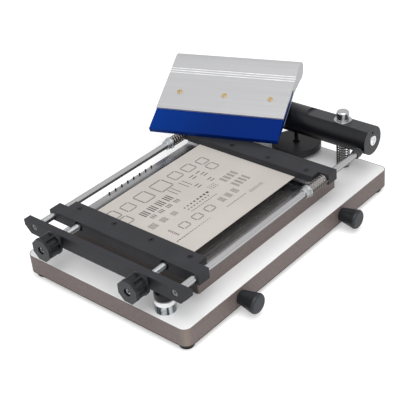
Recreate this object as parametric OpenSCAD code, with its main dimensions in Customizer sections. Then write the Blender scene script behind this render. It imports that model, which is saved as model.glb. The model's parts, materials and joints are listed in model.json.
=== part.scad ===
// Tabletop screen printing press: a hinged stencil frame with tension bars
// over an adjustable print table, on a laminated base board.
// X runs left to right, Y from the front (star knobs) to the rear hinge, Z up.

/* [Base] */
// Width of the base board
base_w = 300; // [290:1:340]
// Length of the base board, front to rear
base_l = 470; // [465:1:520]
// Thickness of the base board with its laminate
base_t = 28; // [26:1:32]
// Radius of the base board's upright corners
base_corner_r = 12; // [6:1:18]
// Thickness of the white laminate
laminate_t = 1; // [0.8:0.1:1.5]
// Height of the rubber feet
foot_h = 9; // [6:1:11]
// Diameter of the rubber feet
foot_d = 22; // [18:1:26]

/* [Print table] */
// Width of the print table
table_w = 244; // [236:1:248]
// Length of the print table
table_l = 314; // [300:1:316]
// Thickness of the print table with its steel sheet
table_t = 28; // [26:1:30]
// Thickness of the polished steel sheet
table_sheet_t = 1; // [0.8:0.1:1.5]
// Sideways place of the table as it stands
table_x = -8; // [-12:1:0]
// Front edge of the table behind the front edge of the base
table_front = 67; // [66:1:70]
// Sideways travel of the table to each side of the middle
table_travel = 12; // [8:1:12]
// Number of register pins along the table's left edge
pin_count = 8; // [4:1:10]
// Pitch of the register pins
pin_pitch = 13; // [12:0.5:15]
// First register pin behind the front edge of the table
pin_front = 83; // [40:1:160]

/* [Table adjusters] */
// Front adjuster axis behind the front edge of the base
adjust_front = 108.5; // [104:0.5:112]
// Distance between the front and the rear adjuster
adjust_spacing = 234.5; // [230:0.5:238]
// Diameter of the adjuster screws
adjust_screw_d = 8; // [6:1:8]
// Length of the tapered knobs
taper_knob_l = 30; // [26:1:34]
// Diameter of a tapered knob at the base
taper_knob_d1 = 20; // [18:1:22]
// Largest diameter of a tapered knob
taper_knob_d2 = 29; // [26:1:32]

/* [Stencil frame] */
// Diameter of the guide rods
rod_d = 10; // [9:0.5:10]
// Distance between the two guide rods
rod_span = 260; // [256:1:262]
// Height of the rod axes above the base board
rod_rise = 46.5; // [46:0.5:48]
// Height of the tops of the cross bars above the base board
bar_rise = 54; // [53.5:0.5:55]
// How far the front crossbar reaches past the axis of each guide rod
crossbar_over = 20; // [16:0.5:22]
// Height of the front crossbar
crossbar_h = 20; // [19:0.5:20]
// Depth of the front crossbar
crossbar_d = 12; // [10:1:13]
// Front face of the crossbar behind the front edge of the base
crossbar_front = 8.6; // [6:0.1:10]
// Chamfer at the lower corners of the crossbar
crossbar_chamfer = 11; // [8:1:12]

/* [Tension bars] */
// How far the tension bars reach past the axis of each guide rod
bar_over = 8; // [7:0.5:9]
// Gap between a guide rod and the end of the bars' wide middle part
lip_gap = 4.5; // [4.5:0.5:6]
// Depth of the bar where the rods pass through
beam_d = 20; // [18:1:20]
// Depth of the clamping lip
lip_d = 16; // [14:1:16]
// Height of the tension bars
bar_h = 16; // [15:1:16]
// Thickness of the lip
lip_t = 10; // [8:1:10]
// Front face of the front tension bar behind the front edge of the base
front_bar_y = 45.8; // [44:0.1:48]
// Rear face of the rear tension bar behind the front edge of the base
rear_bar_y = 350; // [348:1:352]
// Distance from the ends of the wide part to the outer clamp screws
clamp_in = 17.9; // [16:0.1:20]
// Width of the stencil
stencil_w = 180; // [160:1:200]
// Thickness of the stencil sheet
stencil_t = 0.6; // [0.4:0.1:0.8]

/* [Tension knobs] */
// Distance between the two tension spindles
spindle_span = 160; // [150:1:170]
// Diameter of the tension spindles
spindle_d = 8; // [7:1:8]
// Diameter of the star knobs
star_d = 35; // [32:1:36]
// Length of the lobed part of a star knob
star_l = 21; // [18:1:22]
// Length of a star knob's hub
star_hub_l = 11; // [9:1:12]

/* [Rear hinge] */
// Diameter of the hinge bar
hinge_d = 45; // [44:1:46]
// Distance from each end of the hinge bar out to the axis of its guide rod
hinge_in = 10; // [9:0.5:11]
// Width of each end cap
cap_w = 19.7; // [18:0.1:20]
// Height of the hinge axis above the base board
hinge_rise = 58; // [57:0.5:60]
// Hinge axis behind the front edge of the base
hinge_y = 441.5; // [440:0.5:444]
// Height of the milled flats above the hinge axis
flat_rise = 19; // [18:0.5:20]
// Distance from each end of the hinge bar in to its upright post
post_in = 32; // [30:1:35]
// Diameter of the upright posts
post_d = 8; // [7:1:8]
// Diameter of the height handwheel
wheel_d = 78; // [72:1:80]
// Thickness of the height handwheel
wheel_t = 10; // [8:1:11]

/* [Springs] */
// Outer diameter of the springs on the posts
post_spring_d = 21; // [16:0.5:22]
// Outer diameter of the springs on the guide rods
rod_spring_d = 16; // [14:0.5:16]
// Wire diameter of the springs
spring_wire = 1.8; // [1.4:0.1:2]
// Turns of a rod spring
rod_spring_turns = 8; // [6:1:9]
// Turns of a post spring
post_spring_turns = 9; // [5:1:10]
// Length of a rod spring as it stands
rod_spring_l = 40; // [38:1:42]

/* [Front stop] */
// Centre of the front stop right of the middle of the base
stop_x = 98; // [95:1:102]
// Centre of the front stop behind the front edge of the base
stop_y = 21.5; // [20:0.5:22]
// Diameter of the front stop's foot
stop_d = 29; // [26:1:30]

/* [Squeegee] */
// Width of the squeegee
squeegee_w = 209; // [180:1:212]
// Height of the squeegee from the blade's edge to the crown of the handle
squeegee_h = 163.5; // [163:0.5:170]
// Height of the neck, where the handle starts to widen, above the blade's edge
neck_h = 103.5; // [102:0.5:106]
// Height of the bare part of the blade
blade_bare = 40.5; // [38:0.5:46]
// Thickness of the blade
blade_t = 8; // [7:0.5:8]
// Thickness of the handle where it holds the blade
grip_t = 14; // [14:0.5:15]
// Diameter of the handle's round crown
crown_d = 28; // [26:1:28]
// Wall thickness of the handle profile
handle_wall = 2.6; // [2:0.1:3]
// Height of the squeegee's screws above the blade's edge
squeegee_screw_h = 75.5; // [70:0.5:80]
// Distance between the squeegee's screws
squeegee_pitch = 75; // [60:1:80]
// Resting edge's right end, right of the middle of the base
squeegee_right = 24; // [20:1:26]
// The same end behind the rear tension bar
squeegee_back = 13.3; // [12:0.1:15]
// Turn of the squeegee about the upright
squeegee_turn = 20.5; // [19:0.1:21]

/* [Fits] */
// Radial clearance of a running or sliding fit
run_fit = 0.05; // [0.03:0.01:0.09]
// Gap between faces of separate pieces that only rest near each other
seat_gap = 0.3; // [0.2:0.05:0.4]
// Radial clearance of a screw in its clearance hole
free_fit = 0.5; // [0.3:0.1:0.6]

/* [Hidden] */
$fn = 96;

black = "#2b2c30";
steel = "#c9cacc";
brown = "#6f6260";
white = "#e6e6e6";

// Heights above the bench
base_z = foot_h;
top_z = base_z + base_t;
bar_z = top_z + bar_rise - bar_h;
bar_top = top_z + bar_rise;
rod_z = top_z + rod_rise;
hinge_z = top_z + hinge_rise;
table_top = top_z + table_t;
stencil_z = bar_top - lip_t - stencil_t;

// Widths that follow the distance between the guide rods
crossbar_l = rod_span + 2 * crossbar_over;
bar_l = rod_span + 2 * bar_over;
lip_l = rod_span - rod_d - 2 * lip_gap;
hinge_l = rod_span - 2 * hinge_in;
post_span = hinge_l - 2 * post_in;

// Depths, measured from the middle of the base
front_y = -base_l / 2;
crossbar_y = front_y + crossbar_front;
crossbar_back = crossbar_y + crossbar_d;
front_bar = front_y + front_bar_y;
rear_bar = front_y + rear_bar_y;
axis_y = front_y + hinge_y;
table_y = front_y + table_front + table_l / 2;
adjust_y = [front_y + adjust_front, front_y + adjust_front + adjust_spacing];

// The upright posts' washers and nuts stand on the flats of the hinge bar
washer_t = 2.5;
washer_r = 13.5;
nut_z = hinge_z + flat_rise + washer_t;
nut_r = 9.5;
nut_h = 14;
nut_round_r = 3;
nut_bore = 11;
post_top = nut_z + nut_bore - 1;

// The squeegee's outline, from the blade's edge up
plate_t = (grip_t - blade_t) / 2;
edge_t = plate_t + blade_t;
crown_r = crown_d / 2;
crown_z = squeegee_h - crown_r;
crown_from = 38;
grip_step = 2;
grip_top = neck_h - grip_step;
slope_t = crown_r * (1 + cos(crown_from)) - grip_t;
slope_turn = atan(slope_t / (crown_z - crown_r * sin(crown_from) - neck_h));

// It rests with the blade's rear edge on the rear bar and its back on the left post nut:
// the tilt is the one that keeps the sloping back one seat gap off the nut's rounded rim
squeegee_y = rear_bar + squeegee_back;
edge_z = bar_top + seat_gap;
nut_ahead = (post_span / 2 + squeegee_right) * sin(squeegee_turn)
    + (axis_y - squeegee_y) * cos(squeegee_turn) - nut_r + nut_round_r;
nut_above = nut_z + nut_h - nut_round_r - edge_z;
slope_drop = (grip_t - edge_t) * cos(slope_turn) - neck_h * sin(slope_turn);
squeegee_tilt = acos((slope_drop + nut_round_r + seat_gap) / norm([nut_ahead, nut_above]))
    - atan(nut_above / nut_ahead) - slope_turn;
crown_reach = (crown_r - edge_t) * cos(squeegee_tilt) + crown_z * sin(squeegee_tilt) + crown_r;

// The frame's origin lies under the middle of the whole object's box
left_end = squeegee_right - squeegee_w * cos(squeegee_turn) - crown_reach * sin(squeegee_turn);
right_end = base_w / 2 + seat_gap + taper_knob_l;
front_end = crossbar_y - seat_gap - star_hub_l - star_l;
rear_end = squeegee_y + crown_reach * cos(squeegee_turn);
origin = [(left_end + right_end) / 2, (front_end + rear_end) / 2, 0];

function arc(cx, cy, r, a0, a1, n) =
    [for (i = [0:n]) [cx + r * cos(a0 + (a1 - a0) * i / n), cy + r * sin(a0 + (a1 - a0) * i / n)]];

module in_frame() {
    translate(-origin) children();
}

// A board lying flat, with upright round corners
module board(w, l, t, r) {
    for (side = [0, 1]) {
        cut = side * r;
        translate([-w / 2 + cut, -l / 2 + r - cut, 0]) cube([w - 2 * cut, l - 2 * r + 2 * cut, t]);
    }
    for (x = [-1, 1]) {
        for (y = [-1, 1]) {
            translate([x * (w / 2 - r), y * (l / 2 - r), 0]) cylinder(h = t, r = r);
        }
    }
}

module along_x(r, h) {
    rotate([0, 90, 0]) cylinder(h = h, r = r);
}

module along_y(r, h) {
    rotate([-90, 0, 0]) cylinder(h = h, r = r);
}

// A six-sided prism along Z
module hexagon(across, h) {
    cylinder(h = h, d = across / cos(30), $fn = 6);
}

// One swept spring along Z, standing on z = 0
module coil(length, outer_d, turns) {
    sides = 6;
    steps = 12;
    wire_r = spring_wire / 2;
    mid_r = (outer_d - spring_wire) / 2;
    rings = turns * steps;
    rise = length - spring_wire;
    points = [
        for (i = [0:rings])
            for (s = [0:sides - 1])
                let (turn = 360 * i / steps, around = 360 * s / sides,
                    out = mid_r + wire_r * cos(around))
                    [out * cos(turn), out * sin(turn), wire_r + rise * i / rings + wire_r * sin(around)]
    ];
    walls = [
        for (i = [0:rings - 1])
            for (s = [0:sides - 1])
                let (a = i * sides + s, b = i * sides + (s + 1) % sides)
                    [a, a + sides, b + sides, b]
    ];
    first = [for (s = [0:sides - 1]) s];
    last = [for (s = [0:sides - 1]) rings * sides + sides - 1 - s];
    polyhedron(points = points, faces = concat([first], walls, [last]));
}

// Pocket, screw bore and bush seat of one table adjuster, cut from the base:
// the pocket lies about the middle of the table's travel
drive_block = [20, 22, 18];
drive_pin_r = 5;
pocket_x = 70;
drive_x = pocket_x + table_x;
pocket_w = drive_block[1] + 4;
pocket_half = drive_block[0] / 2 + table_travel + 2;
pocket_depth = drive_block[2] + 4;
screw_left = pocket_x - pocket_half - 10;
screw_drop = base_t / 2;
bush_l = 14;
bush_d = 14;

module adjuster_cut(y) {
    translate([pocket_x - pocket_half, y - pocket_w / 2, top_z - pocket_depth])
        cube([2 * pocket_half, pocket_w, pocket_depth + 1]);
    translate([screw_left, y, top_z - screw_drop])
        along_x(adjust_screw_d / 2 + free_fit, base_w / 2 - screw_left + 1);
    translate([base_w / 2 - bush_l, y, top_z - screw_drop]) along_x(bush_d / 2, bush_l + 1);
}

foot_inset = 15;
foot_screw_r = 1.5;
foot_screw_reach = 11;

module foot_places() {
    for (x = [-1, 1]) {
        for (y = [-1, 1]) {
            translate([x * (base_w / 2 - foot_inset), y * (base_l / 2 - foot_inset), 0]) children();
        }
    }
}

// The posts and the stop's stem are set in blind holes in the base
band_t = 1;
post_floor = 6;
stem_floor = 8;

module inner_board(t) {
    board(base_w - 2 * band_t, base_l - 2 * band_t, t, base_corner_r - band_t);
}

module base_board() {
    core_t = base_t - laminate_t;
    in_frame() color(brown) difference() {
        translate([0, 0, base_z]) inner_board(core_t);
        for (y = adjust_y) adjuster_cut(y);
        both_posts() translate([0, 0, base_z + post_floor]) cylinder(h = base_t, d = post_d);
        at_stop(base_z + stem_floor) cylinder(h = base_t, r = stem_r);
        foot_places() translate([0, 0, base_z - 1]) cylinder(h = foot_screw_reach + 2, r = foot_screw_r);
    }
}

module base_laminate() {
    in_frame() color(white) difference() {
        translate([0, 0, top_z - laminate_t]) inner_board(laminate_t);
        for (y = adjust_y) adjuster_cut(y);
        both_posts() translate([0, 0, base_z]) cylinder(h = base_t + 1, d = post_d);
        at_stop(base_z) cylinder(h = base_t + 1, r = stem_r);
    }
}

module edge_band() {
    in_frame() color(brown) difference() {
        translate([0, 0, base_z]) board(base_w, base_l, base_t, base_corner_r);
        translate([0, 0, base_z - 1]) inner_board(base_t + 2);
        for (y = adjust_y) {
            translate([base_w / 2 - bush_l, y, top_z - screw_drop]) along_x(bush_d / 2, bush_l + 1);
        }
    }
}

foot_recess = 2;
foot_head_r = 3.2;

module base_feet() {
    in_frame() color("#202020") foot_places() difference() {
        union() {
            cylinder(h = foot_h / 3, d1 = foot_d - 2, d2 = foot_d);
            translate([0, 0, foot_h / 3]) cylinder(h = 2 * foot_h / 3, d = foot_d);
        }
        translate([0, 0, -1]) cylinder(h = foot_recess + 1, r = foot_head_r + free_fit);
        translate([0, 0, 1]) cylinder(h = foot_h, r = foot_screw_r + free_fit);
    }
}

module foot_screws() {
    in_frame() color(steel) foot_places() {
        translate([0, 0, foot_recess]) cylinder(h = base_z + foot_screw_reach - foot_recess, r = foot_screw_r);
        translate([0, 0, foot_recess - 1.2]) cylinder(h = 1.2, r = foot_head_r);
    }
}

module adjuster_bushes() {
    in_frame() color("#b98d3e") for (y = adjust_y) {
        translate([base_w / 2 - bush_l, y, top_z - screw_drop]) difference() {
            along_x(bush_d / 2, bush_l);
            translate([-1, 0, 0]) along_x(adjust_screw_d / 2 + run_fit, bush_l + 2);
        }
    }
}

// The register strip lies in a notch of the steel sheet, with its pins pressed through it
sheet_z = table_top - table_sheet_t;
table_corner_r = 3;
drive_pin_h = 12;
strip_w = 5;
strip_over = 4;
strip_l = (pin_count - 1) * pin_pitch + 2 * strip_over;
pin_x = table_x - table_w / 2 + strip_w / 2;
pin_y = front_y + table_front + pin_front;
pin_r = 1.3;
pin_rise = 2.5;
pin_root = 4;

module register_pin_places() {
    for (i = [0:pin_count - 1]) {
        translate([pin_x, pin_y + i * pin_pitch, sheet_z]) children();
    }
}

module table_board() {
    in_frame() color(brown) difference() {
        translate([table_x, table_y, top_z]) board(table_w, table_l, sheet_z - top_z, table_corner_r);
        for (y = adjust_y) {
            translate([drive_x, y, top_z - 1]) cylinder(h = drive_pin_h + 1, r = drive_pin_r);
        }
        register_pin_places() translate([0, 0, -pin_root]) cylinder(h = pin_root + 1, r = pin_r);
    }
}

module table_sheet() {
    in_frame() color("#d5d6d8") difference() {
        translate([table_x, table_y, sheet_z]) board(table_w, table_l, table_sheet_t, table_corner_r);
        translate([pin_x - strip_w, pin_y - strip_over - seat_gap, sheet_z - 1])
            cube([1.5 * strip_w + seat_gap, strip_l + 2 * seat_gap, table_sheet_t + 2]);
    }
}

module register_strip() {
    in_frame() color("#8f9093") difference() {
        translate([pin_x - strip_w / 2, pin_y - strip_over, sheet_z]) cube([strip_w, strip_l, table_sheet_t]);
        register_pin_places() translate([0, 0, -1]) cylinder(h = table_sheet_t + 2, r = pin_r);
    }
}

module register_pins() {
    in_frame() color("#2a2a2c") register_pin_places()
        translate([0, 0, -pin_root]) cylinder(h = pin_root + table_sheet_t + pin_rise, r = pin_r);
}

// The nut that carries the table along its adjuster screw, with the pin up into the board
module drive_nut(y) {
    in_frame() color("#a8a9ab") difference() {
        union() {
            translate([drive_x, y, top_z - 1 - drive_block[2] / 2]) cube(drive_block, center = true);
            translate([drive_x, y, top_z - 2]) cylinder(h = drive_pin_h + 2, r = drive_pin_r);
        }
        translate([drive_x - drive_block[0], y, top_z - screw_drop])
            along_x(adjust_screw_d / 2 + run_fit, 2 * drive_block[0]);
    }
}

module drive_nut_front() {
    drive_nut(adjust_y[0]);
}

module drive_nut_rear() {
    drive_nut(adjust_y[1]);
}

knob_bore = 16;

module adjuster_knob(y) {
    r1 = taper_knob_d1 / 2;
    r2 = taper_knob_d2 / 2;
    round_r = 4;
    outline = concat(
        [[0, knob_bore], [adjust_screw_d / 2, knob_bore], [adjust_screw_d / 2, 0], [r1 - 1, 0], [r1, 1]],
        arc(r2 - round_r, taper_knob_l - round_r, round_r, -6, 90, 8),
        [[0, taper_knob_l]]
    );
    in_frame() color("#232427") translate([base_w / 2 + seat_gap, y, top_z - screw_drop])
        rotate([0, 90, 0]) rotate_extrude() polygon(outline);
}

module adjuster_screw(y) {
    from = screw_left + 2;
    in_frame() color(steel) translate([from, y, top_z - screw_drop])
        along_x(adjust_screw_d / 2, base_w / 2 + seat_gap + knob_bore - from);
}

module adjuster_knob_front() {
    adjuster_knob(adjust_y[0]);
}

module adjuster_knob_rear() {
    adjuster_knob(adjust_y[1]);
}

module adjuster_screw_front() {
    adjuster_screw(adjust_y[0]);
}

module adjuster_screw_rear() {
    adjuster_screw(adjust_y[1]);
}

// The front stop: a turned foot, a white adjusting ring and a black pad under the crossbar
stop_foot_h = 11.5;
stop_ring_h = 6.5;
stop_top = bar_top - crossbar_h - seat_gap;
stem_r = 4;

pad_stem_l = 2;

module at_stop(z) {
    translate([stop_x, front_y + stop_y, z]) children();
}

module stop_foot() {
    bore = 7;
    in_frame() color(steel) {
        at_stop(top_z) difference() {
            cylinder(h = stop_foot_h, d1 = stop_d, d2 = stop_d - 1);
            translate([0, 0, stop_foot_h - bore]) cylinder(h = bore + 1, r = stem_r + run_fit);
        }
        at_stop(base_z + stem_floor) cylinder(h = base_t - stem_floor, r = stem_r);
    }
}

module stop_ring() {
    in_frame() color(white) at_stop(top_z + stop_foot_h) difference() {
        cylinder(h = stop_ring_h, d = stop_d - 1);
        translate([0, 0, -1]) cylinder(h = stop_ring_h + 2, r = stem_r + run_fit);
    }
}

module stop_pad() {
    pad_h = stop_top - top_z - stop_foot_h - stop_ring_h;
    pad_r = stop_d / 2 - 0.8;
    round_r = 6;
    lift = 1.3;
    outline = concat(
        [[0, lift], [pad_r - 1, lift], [pad_r, lift + 1]],
        arc(pad_r - round_r, pad_h - round_r, round_r, 0, 90, 10),
        [[0, pad_h]]
    );
    in_frame() color("#17181a") at_stop(stop_top - pad_h) {
        rotate_extrude() polygon(outline);
        translate([0, 0, -stop_ring_h - pad_stem_l])
            cylinder(h = stop_ring_h + pad_stem_l + lift + 1, r = stem_r);
    }
}

// The upright posts stand in the base and guide the hinge bar
spot_rise = 3;
spring_top = hinge_z - hinge_d / 2 + spot_rise;

module both_posts() {
    for (x = [-1, 1]) {
        translate([x * post_span / 2, axis_y, 0]) children();
    }
}

module hinge_posts() {
    in_frame() color(steel) both_posts()
        translate([0, 0, base_z + post_floor]) cylinder(h = post_top - base_z - post_floor, d = post_d);
}

module post_springs() {
    in_frame() color("#8d8f92") both_posts()
        translate([0, 0, top_z]) coil(spring_top - top_z, post_spring_d, post_spring_turns);
}

// The flats on its top start at round ends, each side of the middle
flat_from = 27;
flat_end_r = 14;
spindle_r = 3;
spindle_bore_top = hinge_z + 10;

module hinge_bar() {
    flat_l = hinge_l / 2 + 1 - flat_from - flat_end_r;
    in_frame() color(black) difference() {
        translate([-hinge_l / 2, axis_y, hinge_z]) along_x(hinge_d / 2, hinge_l);
        for (side = [-1, 1]) {
            translate([side * (hinge_l / 2 + 1 - flat_l / 2), axis_y, hinge_z + flat_rise + hinge_d / 2])
                cube([flat_l, hinge_d, hinge_d], center = true);
            translate([side * (flat_from + flat_end_r), axis_y, hinge_z + flat_rise])
                cylinder(h = hinge_d, r = flat_end_r);
            translate([side * hinge_l / 2 - pivot_root, axis_y, hinge_z]) along_x(pivot_r, 2 * pivot_root);
        }
        both_posts() {
            translate([0, 0, top_z]) cylinder(h = 2 * hinge_d, r = post_d / 2 + run_fit);
            translate([0, 0, top_z]) cylinder(h = spring_top - top_z, d = post_spring_d + 2);
        }
        translate([0, axis_y, top_z]) cylinder(h = spindle_bore_top - top_z, r = spindle_r + run_fit);
    }
}

// The pivots are shoulder screws fixed in the ends of the hinge bar
pivot_r = 6;
pivot_root = 20;
pivot_head_r = 7.5;
pivot_head_l = 7;
pivot_stand = 1.5;

module hinge_pivots() {
    in_frame() color("#d8d9db") for (x = [-1, 1]) {
        translate([0, axis_y, hinge_z]) rotate([0, x * 90, 0]) difference() {
            union() {
                translate([0, 0, hinge_l / 2 - pivot_root]) cylinder(h = cap_w + pivot_root, r = pivot_r);
                translate([0, 0, hinge_l / 2 + cap_w + seat_gap + pivot_stand - pivot_head_l])
                    cylinder(h = pivot_head_l, r = pivot_head_r);
            }
            translate([0, 0, hinge_l / 2 + cap_w + seat_gap + pivot_stand - 4]) hexagon(10, 5);
        }
    }
}

// Each end cap turns on its pivot and holds the necked end of a guide rod
rod_neck_d = rod_d - 2;
rod_end_y = axis_y - 8.5;
cap_screw_rise = 13;
cap_screw_l = 7;
cap_screw_x = hinge_l / 2 + cap_w + seat_gap - cap_screw_l - 1;
cap_screw_r = 2;

module end_cap(side) {
    in_frame() color(black) translate([0, axis_y, hinge_z]) difference() {
        rotate([0, side * 90, 0]) difference() {
            translate([0, 0, hinge_l / 2 + seat_gap]) cylinder(h = cap_w, d = hinge_d);
            translate([0, 0, hinge_l / 2 - 1]) cylinder(h = cap_w + 4, r = pivot_r + run_fit);
            translate([0, 0, hinge_l / 2 + cap_w + pivot_stand - pivot_head_l])
                cylinder(h = pivot_head_l + 2, r = pivot_head_r + free_fit);
        }
        translate([side * hinge_l / 2, 0, flat_rise + hinge_d / 2])
            cube([4 * cap_w, hinge_d, hinge_d], center = true);
        translate([side * rod_span / 2, -hinge_d, rod_rise - hinge_rise])
            along_y(rod_neck_d / 2, hinge_d + rod_end_y - axis_y);
        translate([side * cap_screw_x, 0, cap_screw_rise])
            rotate([0, side * 90, 0]) cylinder(h = cap_screw_l + 3, r = cap_screw_r);
    }
}

module end_cap_left() {
    end_cap(-1);
}

module end_cap_right() {
    end_cap(1);
}

module cap_set_screws() {
    in_frame() color("#151516") for (side = [-1, 1]) {
        translate([side * cap_screw_x, axis_y, hinge_z + cap_screw_rise])
            rotate([0, side * 90, 0]) difference() {
                cylinder(h = cap_screw_l, r = cap_screw_r);
                translate([0, 0, cap_screw_l - 2]) hexagon(2, 3);
            }
    }
}

module post_washers() {
    in_frame() color("#dfe0e2") both_posts() translate([0, 0, hinge_z + flat_rise]) difference() {
        cylinder(h = washer_t, r = washer_r);
        translate([0, 0, -1]) cylinder(h = washer_t + 2, r = post_d / 2 + free_fit);
    }
}

module post_nut(side) {
    rim = arc(nut_r - nut_round_r, nut_h - nut_round_r, nut_round_r, 0, 90, 8);
    outline = concat([[0, 0], [nut_r, 0]], rim, [[0, nut_h]]);
    in_frame() color(steel) translate([side * post_span / 2, axis_y, nut_z]) difference() {
        rotate_extrude() polygon(outline);
        translate([0, 0, -1]) cylinder(h = nut_bore + 1, r = post_d / 2 + run_fit);
    }
}

module post_nut_left() {
    post_nut(-1);
}

module post_nut_right() {
    post_nut(1);
}

// The handwheel lifts the hinge bar on its central spindle
thrust_t = 1;
wheel_z = top_z + 7;
wheel_hub_r = 12;
spindle_top = spindle_bore_top - 6;
wheel_nut_w = 10;
wheel_nut_h = 3;

module height_handwheel() {
    in_frame() color("#2d2e30") translate([0, axis_y, 0]) difference() {
        union() {
            translate([0, 0, wheel_z]) cylinder(h = wheel_t - 1, d = wheel_d);
            translate([0, 0, wheel_z + wheel_t - 1]) cylinder(h = 1, d1 = wheel_d, d2 = wheel_d - 4);
            translate([0, 0, top_z + thrust_t]) cylinder(h = wheel_z - top_z, r = wheel_hub_r);
        }
        translate([0, 0, top_z]) cylinder(h = 3 * wheel_t, r = spindle_r);
    }
}

module height_spindle() {
    in_frame() color("#77787b") translate([0, axis_y, 0]) {
        translate([0, 0, top_z + thrust_t]) cylinder(h = spindle_top - top_z - thrust_t, r = spindle_r);
        translate([0, 0, wheel_z + wheel_t]) hexagon(wheel_nut_w, wheel_nut_h);
    }
}

module thrust_washer() {
    in_frame() color("#b98d3e") translate([0, axis_y, top_z]) cylinder(h = thrust_t, r = wheel_hub_r - 1);
}

// The rods run from the crossbar to the end caps, where two lock nuts hold each one
rod_back = axis_y - 32.5;
lock_nut_h = 4.5;
lock_nut_w = 13;
lock_nut_pitch = 5.7;
crossbar_screw_r = 2.5;
crossbar_screw_l = 18;

module guide_rod(side) {
    in_frame() color("#d4d5d8") translate([side * rod_span / 2, crossbar_back, rod_z]) difference() {
        union() {
            along_y(rod_d / 2, rod_back - crossbar_back);
            along_y(rod_neck_d / 2, rod_end_y - crossbar_back);
        }
        translate([0, -1, 0]) along_y(crossbar_screw_r, crossbar_screw_l - 3);
    }
}

module guide_rod_left() {
    guide_rod(-1);
}

module guide_rod_right() {
    guide_rod(1);
}

module rod_lock_nuts() {
    in_frame() color("#1e1f21") for (side = [-1, 1]) {
        for (y = [rod_back, rod_back + lock_nut_pitch]) {
            translate([side * rod_span / 2, y, rod_z]) rotate([-90, 0, 0]) difference() {
                hexagon(lock_nut_w, lock_nut_h);
                translate([0, 0, -1]) cylinder(h = lock_nut_h + 2, d = rod_neck_d);
            }
        }
    }
}

// Flanged collars clamped on the rods, which the rod springs press against
collar_back = rear_bar - beam_d - rod_spring_l;
collar_l = 11;
collar_r = 7.5;
collar_flange_r = 9.2;
collar_flange_t = 3;

module rod_collars() {
    in_frame() color("#b9babc") for (side = [-1, 1]) {
        translate([side * rod_span / 2, collar_back - collar_l, rod_z]) difference() {
            union() {
                along_y(collar_r, collar_l - 2);
                translate([0, collar_l - collar_flange_t, 0]) along_y(collar_flange_r, collar_flange_t);
            }
            translate([0, -1, 0]) along_y(rod_d / 2, collar_l + 2);
        }
    }
}

module rod_springs() {
    in_frame() color("#97908c") for (side = [-1, 1]) {
        translate([side * rod_span / 2, collar_back, rod_z])
            rotate([-90, 0, 0]) coil(rod_spring_l, rod_spring_d, rod_spring_turns);
    }
}

crossbar_head_r = 4.9;

module front_crossbar() {
    half = crossbar_l / 2;
    low = bar_top - crossbar_h;
    outline = [
        [-half, bar_top], [-half, low + crossbar_chamfer], [-half + crossbar_chamfer, low],
        [half - crossbar_chamfer, low], [half, low + crossbar_chamfer], [half, bar_top]
    ];
    in_frame() color(black) difference() {
        translate([0, crossbar_back, 0]) rotate([90, 0, 0]) linear_extrude(crossbar_d) polygon(outline);
        for (side = [-1, 1]) {
            translate([side * spindle_span / 2, crossbar_y - 1, rod_z])
                along_y(spindle_d / 2 + free_fit, crossbar_d + 2);
            translate([side * rod_span / 2, crossbar_y - 1, rod_z]) along_y(crossbar_head_r + 0.3, 7);
            translate([side * rod_span / 2, crossbar_y - 1, rod_z])
                along_y(crossbar_screw_r + free_fit / 2, crossbar_d + 2);
        }
    }
}

module crossbar_screws() {
    in_frame() color("#55575b") for (side = [-1, 1]) {
        translate([side * rod_span / 2, crossbar_y + 1, rod_z]) difference() {
            union() {
                along_y(crossbar_head_r, 5);
                along_y(crossbar_screw_r, crossbar_screw_l + 5);
            }
            translate([0, -1, 0]) rotate([-90, 0, 0]) hexagon(4, 4);
        }
    }
}

// Four countersunk screws draw each jaw up against the lip, with the stencil between
clamp_screw_r = 2;
clamp_hole_r = clamp_screw_r + seat_gap;
clamp_head_r = 4.4;
clamp_head_h = 2.3;
clamp_edge = 11;
clamp_count = 4;
clamp_pitch = (lip_l - 2 * clamp_in) / (clamp_count - 1);

// A tension bar: a beam across the rods and a clamping lip toward the stencil
module tension_bar(y, toward) {
    difference() {
        union() {
            translate([-bar_l / 2, min(y, y + toward * beam_d), bar_z]) cube([bar_l, beam_d, bar_h]);
            translate([-lip_l / 2, min(y, y + toward * (beam_d + lip_d)), bar_top - lip_t])
                cube([lip_l, beam_d + lip_d, lip_t]);
        }
        for (side = [-1, 1]) {
            translate([side * rod_span / 2, y - beam_d - 1, rod_z])
                along_y(rod_d / 2 + run_fit, 2 * beam_d + 2);
        }
        clamp_places(y, toward) {
            translate([0, 0, -lip_t - 1]) cylinder(h = lip_t + 2, r = clamp_hole_r);
            translate([0, 0, -clamp_head_h - 0.1])
                cylinder(h = clamp_head_h + 0.2, r1 = clamp_hole_r, r2 = clamp_head_r + 0.4);
        }
    }
}

module clamp_places(y, toward) {
    for (i = [0:clamp_count - 1]) {
        x = clamp_in - lip_l / 2 + i * clamp_pitch;
        translate([x, y + toward * (beam_d + lip_d - clamp_edge), bar_top]) children();
    }
}

jaw_gap = 0.4;
jaw_in = 5.5;

module jaw(y, toward) {
    jaw_l = lip_l - 2 * jaw_in;
    difference() {
        translate([-jaw_l / 2, y + toward * (beam_d + lip_d / 2 + jaw_gap) - lip_d / 2, bar_z])
            cube([jaw_l, lip_d, bar_h - lip_t - stencil_t]);
        clamp_places(y, toward) translate([0, 0, -bar_h - 1]) cylinder(h = bar_h, r = clamp_screw_r);
    }
}

module clamp_screws(y, toward) {
    clamp_places(y, toward) difference() {
        union() {
            translate([0, 0, 0.3 - bar_h])
                cylinder(h = bar_h - clamp_head_h - 0.3, r = clamp_screw_r);
            translate([0, 0, -clamp_head_h - 0.2])
                cylinder(h = clamp_head_h, r1 = clamp_screw_r, r2 = clamp_head_r);
        }
        translate([0, 0, -1.6]) hexagon(2.5, 2);
    }
}

// The tension spindles end in blind holes in the front bar, with a spot face round each
spindle_grip = 16;
spindle_spot_r = 7.2;

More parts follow.
